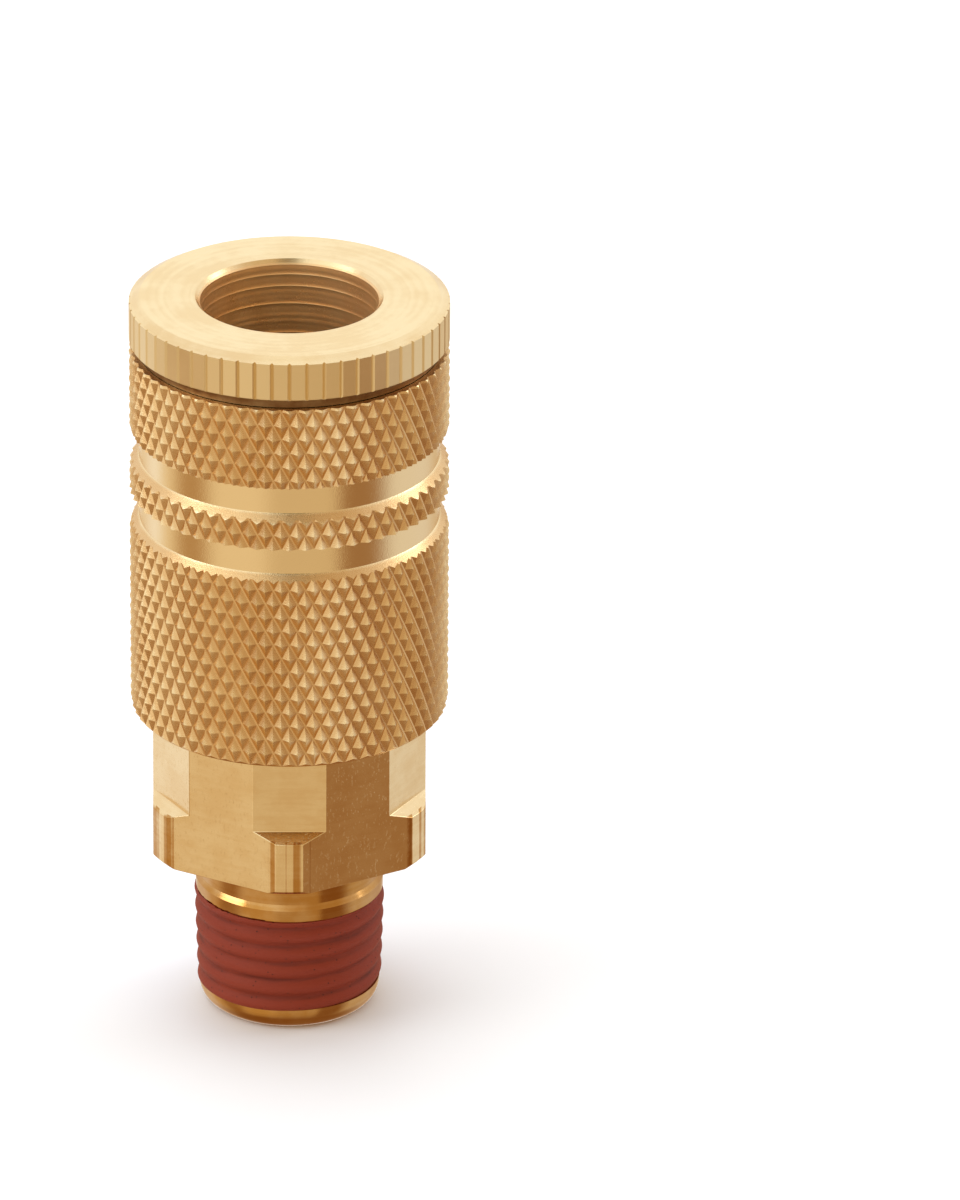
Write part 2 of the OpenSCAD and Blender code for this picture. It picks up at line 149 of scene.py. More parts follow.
class Nodes:
    """The nodes of a material or of the room."""

    def __init__(self, tree):
        self.tree = tree

    def node(self, kind, settings=None, inputs=None, output=0):
        """Add a node: its settings first, then its sockets' values or links."""
        made = self.tree.nodes.new(kind)
        for key, value in (settings or {}).items():
            if key == "stops":
                self.set_stops(made.color_ramp, value)
            else:
                setattr(made, key, value)
        for key, value in (inputs or {}).items():
            self.feed(made.inputs[key], value)
        return Flow(self, made.outputs[output])

    def set_stops(self, ramp, stops):
        """Give a colour ramp its stops, each a position and a colour."""
        while len(ramp.elements) > 1:
            ramp.elements.remove(ramp.elements[-1])
        ramp.interpolation = "EASE"
        ramp.elements[0].position, ramp.elements[0].color = stops[0]
        for position, colour in stops[1:]:
            ramp.elements.new(position).color = colour

    def feed(self, socket, value):
        if isinstance(value, Flow):
            self.tree.links.new(value.socket, socket)
        else:
            socket.default_value = value

    def split(self, vector):
        """The X, Y and Z of a vector."""
        return [self.node("ShaderNodeSeparateXYZ", inputs={0: vector}, output=axis)
                for axis in "XYZ"]

    def vector(self, x, y, z):
        return self.node("ShaderNodeCombineXYZ", inputs={"X": x, "Y": y, "Z": z})

    def mix(self, factor, one, two):
        """A colour between two colours."""
        return self.node("ShaderNodeMix", {"data_type": "RGBA"}, {0: factor, 6: one, 7: two},
                         output=2)


class Finish(Nodes):
    """A material with its shader, and the patterns that its finish is made of."""

    def __init__(self, name, **sockets):
        self.material = bpy.data.materials.new(name)
        self.material.use_nodes = True
        super().__init__(self.material.node_tree)
        self.shader = self.tree.nodes["Principled BSDF"]
        for socket, value in sockets.items():
            self.shader.inputs[socket.replace("_", " ")].default_value = value
        self.place = self.node("ShaderNodeTexCoord", output="Object")
        self.x, self.y, self.z = self.split(self.place)
        self.radius = (self.x * self.x + self.y * self.y) ** 0.5

    def noise(self, size, detail=2.0, roughness=0.5, where=None):
        """Noise from 0 to 1 whose blotches are about this size, in millimetres."""
        return self.node("ShaderNodeTexNoise", inputs={
            "Vector": where or self.place, "Scale": 1 / (size * MM), "Detail": detail,
            "Roughness": roughness})

    def tool_rings(self, size, drift=0.02):
        """Noise that is drawn out round the axis, like the marks of a turning tool."""
        around = self.vector(self.radius + self.x * drift, self.y * drift, self.z)
        return self.noise(size, where=around)

    def paint(self, **sockets):
        """Lead the finished patterns to the shader."""
        for socket, value in sockets.items():
            self.feed(self.shader.inputs[socket.replace("_", " ")], value)

    def bump(self, height, depth, below=None):
        """Relief from a height of 0 to 1, this deep in millimetres."""
        inputs = {"Height": height, "Distance": depth * MM, "Strength": 1.0}
        if below:
            inputs["Normal"] = below
        return self.node("ShaderNodeBump", inputs=inputs, output="Normal")


def coloured(piece, finish):
    """Give a piece or a node one material."""
    piece.data.materials.clear()
    piece.data.materials.append(finish.material)


# %% [markdown]
# ## Floor and light
# Bright metal shows what stands round it more than its own colour. So the room has walls
# that run round from white to brown, as in a studio with boards set up for metal: white
# and pale at the sides, a warm brown board to the right of the camera, and a lamp to the
# left of it. The floor is plain and pale. It stays out of mirror reflections, so that
# upright metal shows the walls and isn't washed out by white from below.

# %% Lay the floor
FLOOR_SIZE = 6.0
FLOOR_COLOUR = (0.87, 0.91, 0.99, 1)
FLOOR_ROUGHNESS = 0.6
FLOOR_GLOSS = 0.1

bpy.ops.object.select_all(action="DESELECT")
bpy.ops.mesh.primitive_plane_add(size=FLOOR_SIZE)
floor = bpy.context.object
floor.name = "floor"
floor_paint = bpy.data.materials.new("floor_paint")
floor_paint.use_nodes = True
floor_shader = floor_paint.node_tree.nodes["Principled BSDF"]
floor_shader.inputs["Base Color"].default_value = FLOOR_COLOUR
floor_shader.inputs["Roughness"].default_value = FLOOR_ROUGHNESS
floor_shader.inputs["Specular IOR Level"].default_value = FLOOR_GLOSS
floor.data.materials.append(floor_paint)
floor.visible_glossy = False

# %% Hang the soft boxes
def soft_box(name, place, size, power):
    """A square light that faces the coupler."""
    facing = (target - Vector(place)).to_track_quat("-Z", "Y").to_euler()
    bpy.ops.object.light_add(type="AREA", location=place, rotation=facing)
    light = bpy.context.object
    light.name = name
    light.data.size = size
    light.data.energy = power
    return light


soft_box("left_box", place=(-0.9, -0.25, 0.55), size=0.6, power=3.0)
soft_box("right_box", place=(0.95, 0.25, 0.5), size=0.5, power=1.6)
top_box = soft_box("top_box", place=(-0.1, 0.25, 1.2), size=0.9, power=5)
top_box.visible_glossy = False

# %% Colour the room
WHITE_WALL = (1.00, 0.95, 0.91, 1)
PALE_WALL = (0.85, 0.68, 0.46, 1)
GOLD_WALL = (0.70, 0.53, 0.33, 1)
TAN_WALL = (0.50, 0.30, 0.14, 1)
BROWN_WALL = (0.37, 0.20, 0.09, 1)
SOFT_WALL = (0.81, 0.74, 0.66, 1)
LAMP_WALL = (1.12, 1.08, 0.98, 1)
SKY_WALL = (1.12, 1.11, 1.05, 1)
HORIZON_LOW, HORIZON_HIGH = -0.12, 0.2
UNDERSIDE_HIGH, UNDERSIDE_LOW = 0.6, 0.9      # how steeply down the floor's shade begins
LENS_HEIGHT = math.radians(65)                # where the dark lens hood shows
LENS_DARK = (0.16, 0.12, 0.06, 1)
LENS_EDGE, LENS_CORE = math.cos(math.radians(10.5)), math.cos(math.radians(8.5))


def wall(degrees, colour):
    """A stop of the room's ramp: degrees round from behind the camera, and a colour."""
    return 0.5 + degrees / 360, colour


table_height = [wall(-180, WHITE_WALL), wall(-154, PALE_WALL), wall(-124, WHITE_WALL),
                wall(-108, PALE_WALL), wall(-86, TAN_WALL), wall(-76, TAN_WALL),
                wall(-56, PALE_WALL), wall(-24, PALE_WALL), wall(-10, GOLD_WALL),
                wall(36, GOLD_WALL), wall(42, BROWN_WALL), wall(66, BROWN_WALL),
                wall(90, SOFT_WALL), wall(124, SOFT_WALL), wall(154, GOLD_WALL),
                wall(180, WHITE_WALL)]
above = [wall(-180, SKY_WALL), wall(-110, WHITE_WALL), wall(-70, LAMP_WALL),
         wall(-20, LAMP_WALL), wall(5, PALE_WALL), wall(28, GOLD_WALL), wall(60, GOLD_WALL),
         wall(100, WHITE_WALL), wall(180, SKY_WALL)]

world = bpy.data.worlds.new("room")
bpy.context.scene.world = world
world.use_nodes = True
room = Nodes(world.node_tree)
east, north, height = room.split(room.node("ShaderNodeTexCoord", output="Generated"))
around = east.maths("ARCTAN2", east, north * -1) / math.tau + 0.5
low_walls = room.node("ShaderNodeValToRGB", {"stops": table_height}, {"Fac": around})
high_walls = room.node("ShaderNodeValToRGB", {"stops": above}, {"Fac": around})
walls = room.mix(height.spread(HORIZON_LOW, HORIZON_HIGH), low_walls, high_walls)
shade = (height * -1).spread(UNDERSIDE_HIGH, UNDERSIDE_LOW)
walls = room.mix(shade, walls, BROWN_WALL)
lens = height * math.sin(LENS_HEIGHT) - north * math.cos(LENS_HEIGHT)
walls = room.mix(lens.spread(LENS_EDGE, LENS_CORE), walls, LENS_DARK)
room.feed(world.node_tree.nodes["Background"].inputs["Color"], walls)
bpy.context.scene.view_settings.view_transform = "Standard"
print("room and lights are ready")

# %% [markdown]
# ## Sizes
# Positions come from the engineering model's own boxes. All shapes below are written in
# millimetres, as on a workshop drawing, and brought to metres when they are made.

# %% Read the boxes
def measured(node):
    """The lowest and highest corner of a node, in millimetres."""
    low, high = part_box(node)
    return Vector(low) / MM, Vector(high) / MM


sleeve_low, sleeve_high = measured("release_sleeve")
socket_low, socket_high = measured("socket_body")
adapter_low, adapter_high = measured("hex_adapter")
sealant_low, sealant_high = measured("thread_sealant")
ball_low, ball_high = measured("locking_ball_1")
seal_low, seal_high = measured("plug_seal")

sleeve_r, sleeve_back, sleeve_front = sleeve_high.x, sleeve_low.z, sleeve_high.z
flange_r, mouth_z, tube_bottom = socket_high.x, socket_high.z, socket_low.z
hex_half, corner_r, collar_top = adapter_high.x, adapter_high.y, adapter_high.z
ball_z = (ball_low.z + ball_high.z) / 2
print("sleeve radius", round(sleeve_r, 3), "mouth at", round(mouth_z, 3),
      "hexagon half width", round(hex_half, 3))

# %% [markdown]
# ## Turning
# Every brass piece here begins on a lathe. In Blender the same thing is done with Spin: an
# outline is drawn vertex by vertex with Extrude, and spun once round the axis. The seam and
# the poles are merged, and the faces are turned outward.

# %% Turn a piece
SIDES = 144
MERGE = 0.0005 * MM


def work_on(piece):
    """Make a piece the only selected one, and the active one."""
    bpy.ops.object.select_all(action="DESELECT")
    piece.select_set(True)
    bpy.context.view_layer.objects.active = piece


def turn_outward():
    """Turn every face outward, and leave edit mode."""
    bpy.ops.mesh.select_all(action="SELECT")
    bpy.ops.mesh.normals_make_consistent(inside=False)
    bpy.ops.object.mode_set(mode="OBJECT")


def drawn(name, outline):
    """Draw a line through (radius, height) points, and stay in edit mode."""
    bpy.ops.object.select_all(action="DESELECT")
    bpy.ops.mesh.primitive_plane_add(size=MM)
    piece = bpy.context.object
    piece.name = piece.data.name = name
    bpy.ops.object.mode_set(mode="EDIT")
    bpy.ops.mesh.select_mode(type="VERT")
    bpy.ops.mesh.select_all(action="SELECT")
    bpy.ops.mesh.merge(type="CENTER")
    (r, z), *rest = outline
    bpy.ops.transform.translate(value=(r * MM, 0, z * MM))
    for next_r, next_z in rest:
        step = ((next_r - r) * MM, 0, (next_z - z) * MM)
        bpy.ops.mesh.extrude_region_move(TRANSFORM_OT_translate={"value": step})
        r, z = next_r, next_z
    return piece


def turned(name, outline, sides=SIDES):
    """Spin an outline into a closed solid. An outline that starts and ends on the axis
    closes itself there; any other is closed back to its start."""
    if outline[0][0] or outline[-1][0]:
        outline = outline + outline[:1]
    piece = drawn(name, outline)
    bpy.ops.mesh.select_all(action="SELECT")
    bpy.ops.mesh.spin(steps=sides, angle=math.tau, center=(0, 0, 0), axis=(0, 0, 1))
    bpy.ops.mesh.select_all(action="SELECT")
    bpy.ops.mesh.remove_doubles(threshold=MERGE)
    turn_outward()
    return piece


# %% [markdown]
# ## Cutting, joining and finishing
# Milling a pocket, drilling a hole or keeping only what two shapes share are Boolean
# modifiers, applied at once. The last helper puts a finished piece in its place: its
# origin at the zero point, smooth shading that stays crisp at real edges, and the body of
# the mechanism that it moves with.

# %% Combine shapes
OVER = 1                 # how far a cutting shape runs past the face it opens
NEAR = 0.01              # how close to a place a point has to be, to count as there


def modify(piece, kind, **settings):
    """Give a piece a modifier with these settings, and apply it at once."""
    work_on(piece)
    bpy.ops.object.modifier_add(type=kind)
    modifier = piece.modifiers[-1]
    for key, value in settings.items():
        setattr(modifier, key, value)
    bpy.ops.object.modifier_apply(modifier=modifier.name)


def combine(piece, other, operation):
    """Join (UNION), cut (DIFFERENCE) or keep the shared part (INTERSECT) of two solids."""
    modify(piece, "BOOLEAN", operation=operation, solver="EXACT", object=other)
    bpy.data.objects.remove(other, do_unlink=True)


def cut_all_round(piece, tool, count, first=0.0):
    """Cut a piece with copies of one tool at equal turns about the axis. The first copy is
    turned by a share of the spacing."""
    for number in range(count):
        copy = tool.copy()
        copy.data = tool.data.copy()
        bpy.context.collection.objects.link(copy)
        copy.rotation_euler = (0, 0, (number + first) * math.tau / count)
        combine(piece, copy, "DIFFERENCE")
    bpy.data.objects.remove(tool, do_unlink=True)


def bar(name, corners, radius, low, rise, steps=1):
    """A closed bar with this many corners that rises in equal steps. It stays in edit mode."""
    bpy.ops.object.select_all(action="DESELECT")
    bpy.ops.mesh.primitive_circle_add(vertices=corners, radius=radius * MM,
                                      fill_type="NGON", location=(0, 0, low * MM))
    piece = bpy.context.object
    piece.name = piece.data.name = name
    bpy.ops.object.transform_apply(location=True)
    bpy.ops.object.mode_set(mode="EDIT")
    for _ in range(steps):
        bpy.ops.mesh.extrude_region_move(TRANSFORM_OT_translate={"value": (0, 0, rise * MM)})
    return piece


def pick(piece, wanted):
    """In edit mode, select only the vertices whose place passes the test."""
    work_on(piece)
    bpy.ops.object.mode_set(mode="EDIT")
    bpy.ops.mesh.select_mode(type="VERT")
    bpy.ops.mesh.select_all(action="DESELECT")
    bpy.ops.object.mode_set(mode="OBJECT")
    chosen = [v for v in piece.data.vertices if wanted(v.co / MM)]
    for v in chosen:
        v.select = True
    bpy.ops.object.mode_set(mode="EDIT")
    return len(chosen)


def pick_edges(piece, wanted):
    """In edit mode, select only the edges whose two ends pass the test."""
    bpy.ops.object.mode_set(mode="EDIT")
    bpy.ops.mesh.select_mode(type="EDGE")
    bpy.ops.mesh.select_all(action="DESELECT")
    bpy.ops.object.mode_set(mode="OBJECT")
    points = piece.data.vertices
    for edge in piece.data.edges:
        edge.select = wanted(*(points[end].co for end in edge.vertices))
    bpy.ops.object.mode_set(mode="EDIT")


SHARP_ABOVE = math.radians(28)
SMOOTH_BELOW = math.radians(26)


def break_edges(piece, width, segments=2):
    """A fine bevel along every sharp edge."""
    modify(piece, "BEVEL", width=width * MM, segments=segments, limit_method="ANGLE",
           angle_limit=SHARP_ABOVE, use_clamp_overlap=True)


def fit(piece, body, slot, *stands_for):
    """Settle a finished piece in the coupler."""
    work_on(piece)
    bpy.ops.object.transform_apply(location=True, rotation=True, scale=True)
    bpy.ops.object.shade_smooth_by_angle(angle=SMOOTH_BELOW)
    modify(piece, "WEIGHTED_NORMAL", keep_sharp=True)
    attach(piece, body)
    if stands_for:
        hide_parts(*stands_for)
    print(piece.name, "has", len(piece.data.polygons), "faces")


# %% [markdown]
# ## Release sleeve
# The sleeve is knurled before its two plain grooves are turned, so the grooves cut the
# diamonds wherever they happen to fall and leave ragged edges. The blank is made the same
# way. A ring of vertices, two for each diamond, is extruded upward in half diamonds, every
# other vertex is pushed in to a groove crossing, and each square is split along the
# groove. What the blank shares with the turned sleeve is the finished piece.

# %% Knurl a blank
KNURL_COUNT = 61
KNURL_RISE = 2.17
KNURL_DEPTH = 0.36
KNURL_PROUD = 0.03       # how far the points stand out before the lathe trims them
GROOVE_FLAT = 0.06       # half the flat floor of the grooves that lean one way


def knurled_blank(name, radius, low, high):
    """A closed solid with diamond pyramids all round."""
    half_rise = KNURL_RISE / 2
    rows = math.ceil((high - low) / half_rise) + 2
    base = low - half_rise
    piece = bar(name, 2 * KNURL_COUNT, radius, base, half_rise, rows)
    bpy.ops.object.mode_set(mode="OBJECT")

    def crossing(place):
        column = round(math.atan2(place.x, place.y) / math.tau * 2 * KNURL_COUNT)
        row = round((place.z - base) / half_rise)
        return (column + row) % 2 == 1

    def one_way(one, two):
        low_end, high_end = sorted((one, two), key=lambda end: end.z)
        deep = max(low_end.xy.length, high_end.xy.length) < (radius - KNURL_DEPTH / 2) * MM
        return (deep and high_end.z - low_end.z > MERGE
                and low_end.xy.cross(high_end.xy) < 0)

    count = pick(piece, crossing)
    inward = (radius - KNURL_DEPTH) / radius
    bpy.ops.transform.resize(value=(inward, inward, 1), center_override=(0, 0, 0))
    bpy.ops.mesh.select_all(action="SELECT")
    bpy.ops.mesh.quads_convert_to_tris(quad_method="SHORTEST_DIAGONAL", ngon_method="BEAUTY")
    turn_outward()
    pick_edges(piece, one_way)
    bpy.ops.mesh.bevel(offset=GROOVE_FLAT * MM, segments=1, affect="EDGES")
    bpy.ops.object.mode_set(mode="OBJECT")
    print(name, "has", count, "groove crossings")
    return piece


# %% Turn and knurl the sleeve
GROOVE_DEPTH = 0.7
GROOVE_FLOOR = 2.1
GROOVE_SLOPE = 0.7
FRONT_BAND = 6.2
MIDDLE_BAND = 2.0
BACK_BEVEL = 0.4
FRONT_BEVEL = 0.12
SKIRT_R, SKIRT_TOP = 10.503, 33.5
POCKET_R, LAND_BACK = 10.2, 43.3
LAND_R, RAMP_LOW = 9.2, 46.8
RELIEF_R, RAMP_HIGH = 10.15, 48.45

floor_r = sleeve_r - GROOVE_DEPTH
front_groove = sleeve_front - FRONT_BAND
rear_groove = front_groove - GROOVE_FLOOR - GROOVE_SLOPE - MIDDLE_BAND
sleeve_outline = [
    (SKIRT_R + FRONT_BEVEL, sleeve_back),
    (sleeve_r - BACK_BEVEL, sleeve_back),
    (sleeve_r, sleeve_back + BACK_BEVEL),
    (sleeve_r, rear_groove - GROOVE_FLOOR - GROOVE_SLOPE),
    (floor_r, rear_groove - GROOVE_FLOOR),
    (floor_r, rear_groove),
    (sleeve_r, rear_groove),
    (sleeve_r, front_groove - GROOVE_FLOOR - GROOVE_SLOPE),
    (floor_r, front_groove - GROOVE_FLOOR),
    (floor_r, front_groove),
    (sleeve_r, front_groove),
    (sleeve_r, sleeve_front - FRONT_BEVEL),
    (sleeve_r - FRONT_BEVEL, sleeve_front),
    (RELIEF_R, sleeve_front),
    (RELIEF_R, RAMP_HIGH),
    (LAND_R, RAMP_LOW),
    (LAND_R, LAND_BACK),
    (POCKET_R, LAND_BACK),
    (POCKET_R, SKIRT_TOP),
    (SKIRT_R, SKIRT_TOP),
    (SKIRT_R, sleeve_back + FRONT_BEVEL),
]
sleeve = knurled_blank("knurled_sleeve", sleeve_r + KNURL_PROUD, sleeve_back, sleeve_front)
combine(sleeve, turned("sleeve_turning", sleeve_outline), "INTERSECT")
fit(sleeve, "sleeve", "sleeve_brass", "release_sleeve")

# %% [markdown]
# ## Socket
# The socket's rim has a straight knurl: flat facets with a thin V line between each two. A
# ring with one corner for each line is extruded upward, its upright edges are bevelled
# into two narrow faces, and the middle of each is pushed in. The turned socket, with its
# mouth, bore and inner steps, then takes its share of that blank.

# %% Line a rim
RIM_LINES = 58
LINE_WIDTH = 0.15
LINE_DEPTH = 0.15


def lined_blank(name, radius, low, high):
    """A closed solid with fine upright V lines all round."""
    piece = bar(name, RIM_LINES, radius, low, high - low)
    pick_edges(piece, lambda one, two: abs(one.z - two.z) > MERGE)
    bpy.ops.mesh.bevel(offset=LINE_WIDTH * MM, offset_type="OFFSET", segments=2, affect="EDGES")
    bpy.ops.object.mode_set(mode="OBJECT")
    spacing = math.tau / RIM_LINES

    def on_line(place):
        turns = math.atan2(place.x, place.y) / spacing
        return abs(turns - round(turns)) * spacing * radius < LINE_WIDTH / 4

    count = pick(piece, on_line)
    inward = (radius - LINE_DEPTH) / radius
    bpy.ops.transform.resize(value=(inward, inward, 1), center_override=(0, 0, 0))
    turn_outward()
    print(name, "has", count // 2, "lines")
    return piece


# %% Turn the socket
FLANGE_HEIGHT = 3.25
FLANGE_GAP = 0.75
RIM_BEVEL_WIDTH, RIM_BEVEL_HEIGHT = 0.75, 0.4
STOP_R, GUIDE_R, TUBE_R = 11.003, 10.07, 8.5
GUIDE_LENGTH = 2.95
BORE_R, BORE_DEPTH = 6.5, 7.0
LEAD_WIDTH, LEAD_HEIGHT = 0.34, 0.36
BALL_BORE_R = 6.3
SEAL_GROOVE_R, SEAL_SEAT_R = 7.2, 4.2
VALVE_SEAT_Z, CHAMBER_R = 37.0, 7.0
O_RING_LOW, O_RING_HIGH, O_RING_FLOOR = 21.2, 22.4, 7.68
TUBE_BEVEL, FLANGE_BEVEL = 0.2, 0.1
TOOL_LINES = 14
TOOL_PITCH = 0.46
TOOL_RIDGE = 0.04
RIDGE_VARIES = 0.45       # share of a ridge that changes from line to line
RIDGE_CHANGE = 2.4        # how far the change goes on from line to line, in radians

flange_low = mouth_z - FLANGE_HEIGHT
bore_top = mouth_z - LEAD_HEIGHT
bore_outline = []
for line in range(TOOL_LINES):
    ridge_z = bore_top - (line + 0.5) * TOOL_PITCH
    ridge = TOOL_RIDGE * (1 - RIDGE_VARIES + RIDGE_VARIES * math.sin(line * RIDGE_CHANGE))
    bore_outline += [(BORE_R, ridge_z + TOOL_PITCH / 2),
                     (BORE_R, ridge_z + TOOL_PITCH / 8),
                     (BORE_R - ridge, ridge_z - TOOL_PITCH / 8)]
socket_outline = [
    (TUBE_R - TUBE_BEVEL, tube_bottom),
    (TUBE_R, tube_bottom + TUBE_BEVEL),
    (TUBE_R, O_RING_LOW),
    (O_RING_FLOOR, O_RING_LOW),
    (O_RING_FLOOR, O_RING_HIGH),
    (TUBE_R, O_RING_HIGH),
    (TUBE_R, flange_low - FLANGE_GAP - GUIDE_LENGTH),
    (GUIDE_R, flange_low - FLANGE_GAP - GUIDE_LENGTH),
    (GUIDE_R, flange_low - FLANGE_GAP),
    (STOP_R, flange_low - FLANGE_GAP),
    (STOP_R, flange_low),
    (flange_r - FLANGE_BEVEL, flange_low),
    (flange_r, flange_low + FLANGE_BEVEL),
    (flange_r, mouth_z - RIM_BEVEL_HEIGHT),
    (flange_r - RIM_BEVEL_WIDTH, mouth_z),
    (BORE_R + LEAD_WIDTH, mouth_z),
] + bore_outline + [
    (BORE_R, bore_top - TOOL_LINES * TOOL_PITCH),
    (BORE_R, mouth_z - BORE_DEPTH),
    (BALL_BORE_R, mouth_z - BORE_DEPTH),
    (BALL_BORE_R, seal_high.z),
    (SEAL_GROOVE_R, seal_high.z),
    (SEAL_GROOVE_R, seal_low.z),
    (SEAL_SEAT_R, seal_low.z),
    (SEAL_SEAT_R, VALVE_SEAT_Z),
    (CHAMBER_R, VALVE_SEAT_Z),
    (CHAMBER_R, tube_bottom),
]
socket = lined_blank("socket", flange_r, tube_bottom - OVER, mouth_z + OVER)
combine(socket, turned("socket_turning", socket_outline), "INTERSECT")

# %% Drill the ball holes
BALL_COUNT = 6
BALL_HOLE_R = 1.8
BALL_LIP_R = 1.64
LIP_THICKNESS = 0.2


def ball_drill():
    """A stepped drill along +X, at the height of the balls."""
    drill = turned("ball_drill", [
        (0, BORE_R / 2), (BALL_LIP_R, BORE_R / 2), (BALL_LIP_R, BALL_BORE_R + LIP_THICKNESS),
        (BALL_HOLE_R, BALL_BORE_R + LIP_THICKNESS), (BALL_HOLE_R, TUBE_R + OVER),
        (0, TUBE_R + OVER)], sides=32)
    drill.rotation_euler = (0, math.pi / 2, 0)
    drill.location.z = ball_z * MM
    bpy.ops.object.transform_apply(location=True, rotation=True)
    return drill


cut_all_round(socket, ball_drill(), BALL_COUNT)
fit(socket, "body", "socket_brass", "socket_body")

# %% [markdown]
# ## Adapter
# The adapter starts as hexagonal bar. The lathe rounds its corners, turns the shank and
# bores it, and a milling cutter takes a pocket off each upper corner with a sloping ledge
# below it. The wedge that stands for the cutter is made once and copied to each corner.

# %% Mill the hexagon
HEX_SIDES = 6
HEX_LOW, HEX_TOP = 13.3, 18.0
LEDGE_ANGLE = math.radians(33)
CUTTER_REACH = 3.0


def pocket_cutter():
    """A block beyond the pocket's wall, whose lower face falls outward."""
    bpy.ops.object.select_all(action="DESELECT")
    height = collar_top + OVER - HEX_TOP
    bpy.ops.mesh.primitive_cube_add(
        size=MM, location=((hex_half + CUTTER_REACH / 2) * MM, 0, (HEX_TOP + height / 2) * MM),
        scale=(CUTTER_REACH, 2 * hex_half, height))
    cutter = bpy.context.object
    bpy.ops.object.transform_apply(location=True, scale=True)
    pick(cutter, lambda place: place.z < HEX_TOP + NEAR and place.x > hex_half + NEAR)
    fall = -CUTTER_REACH * math.tan(LEDGE_ANGLE)
    bpy.ops.transform.translate(value=(0, 0, fall * MM))
    bpy.ops.object.mode_set(mode="OBJECT")
    return cutter


adapter = bar("adapter", HEX_SIDES, hex_half / math.cos(math.pi / HEX_SIDES), HEX_LOW,
              collar_top - HEX_LOW)
turn_outward()
print("hexagon half width", round(max(v.co.x for v in adapter.data.vertices) / MM, 3))

CORNER_BEVEL = 0.25
MILLED_EDGE = 0.07
combine(adapter, turned("corner_turning", [
    (0, HEX_LOW), (corner_r - CORNER_BEVEL, HEX_LOW), (corner_r, HEX_LOW + CORNER_BEVEL),
    (corner_r, collar_top), (0, collar_top)]), "INTERSECT")
cut_all_round(adapter, pocket_cutter(), HEX_SIDES, first=0.5)
break_edges(adapter, MILLED_EDGE)

# %% Turn the shank and bore it
THREAD_R, TAPER = 6.63, 32           # radius over the crests at the end, and its taper
END_R, END_BEVEL = 5.35, 1.5
END_STEPS = 7
THREAD_ROOT = 0.42                   # how deep the thread lies under the sealant
NECK_STEP_Z, NECK_STEP, NECK_SLOPE = 10.0, 0.22, 0.42
FILLET, FILLET_BULGE = 0.35, 0.3      # its radius, and its middle point's share of it
PASSAGE_R, PASSAGE_TOP = 4.0, 14.0
FLARE_WIDTH, FLARE_TOP = 1.4, 0.4    # the passage flares at its end; width taken at OVER below
ADAPTER_CHAMBER_R, SEAT_R = 6.6, 8.52


def crest(z):
    """The thread's crest radius at a height."""
    return THREAD_R + z / TAPER


def rounded(start, stop, steps):
    """Points of a quarter round that widens upward between two points of an outline."""
    (r0, z0), (r1, z1) = start, stop
    points = []
    for i in range(steps + 1):
        angle = math.pi / 2 * i / steps
        points.append((r0 + (r1 - r0) * math.sin(angle), z0 + (z1 - z0) * (1 - math.cos(angle))))
    return points


shank = turned("shank", [
    (0, 0),
] + rounded((END_R, 0), (crest(END_BEVEL), END_BEVEL), END_STEPS) + [
    (crest(sealant_low.z), sealant_low.z),
    (crest(sealant_low.z) - THREAD_ROOT, sealant_low.z),
    (crest(sealant_high.z) - THREAD_ROOT, sealant_high.z),
    (crest(sealant_high.z), sealant_high.z),
    (crest(NECK_STEP_Z), NECK_STEP_Z),
    (crest(NECK_STEP_Z) - NECK_STEP, NECK_STEP_Z + NECK_SLOPE),
    (crest(NECK_STEP_Z) - NECK_STEP, HEX_LOW - FILLET),
    (crest(NECK_STEP_Z) - NECK_STEP + FILLET * FILLET_BULGE, HEX_LOW - FILLET * FILLET_BULGE),
    (crest(NECK_STEP_Z) - NECK_STEP + FILLET, HEX_LOW),
    (crest(NECK_STEP_Z), HEX_LOW + OVER),
    (0, HEX_LOW + OVER)])
combine(adapter, shank, "UNION")
combine(adapter, turned("adapter_bore", [
    (0, -OVER),
    (PASSAGE_R + FLARE_WIDTH, -OVER),
    (PASSAGE_R, FLARE_TOP),
    (PASSAGE_R, PASSAGE_TOP),
    (ADAPTER_CHAMBER_R, PASSAGE_TOP),
    (ADAPTER_CHAMBER_R, tube_bottom),
    (SEAT_R, tube_bottom),
    (SEAT_R, collar_top + OVER),
    (0, collar_top + OVER)]), "DIFFERENCE")
fit(adapter, "body", "adapter_brass", "hex_adapter")

# %% [markdown]
# ## Thread sealant
# The red coat is baked on over the pipe thread and nearly fills it, so the thread shows
# only as soft ridges. The Screw modifier sweeps a wavy outline once round while it rises
# by one thread, which turns rings into a true helix. Simple Deform gives the taper, and
# both ends are then trimmed level.

# %% Coat the thread
THREAD_PITCH = 25.4 / 18
RIDGE_DEPTH = 0.3
RIDGE_POINTS = 10
COAT_STEPS = 144
COAT_RAGGED = 0.05        # how uneven the coat's upper edge is


def coat_outline():
    """The wavy outline, from below the coat to above it."""
    first = sealant_low.z - 2 * THREAD_PITCH
    count = math.ceil((sealant_high.z + THREAD_PITCH - first) / THREAD_PITCH) * RIDGE_POINTS
    points = []
    for i in range(count + 1):
        wave = 0.5 - 0.5 * math.cos(math.tau * i / RIDGE_POINTS)
        points.append((THREAD_R - RIDGE_DEPTH * (1 - wave),
                       first + i * THREAD_PITCH / RIDGE_POINTS))
    return points


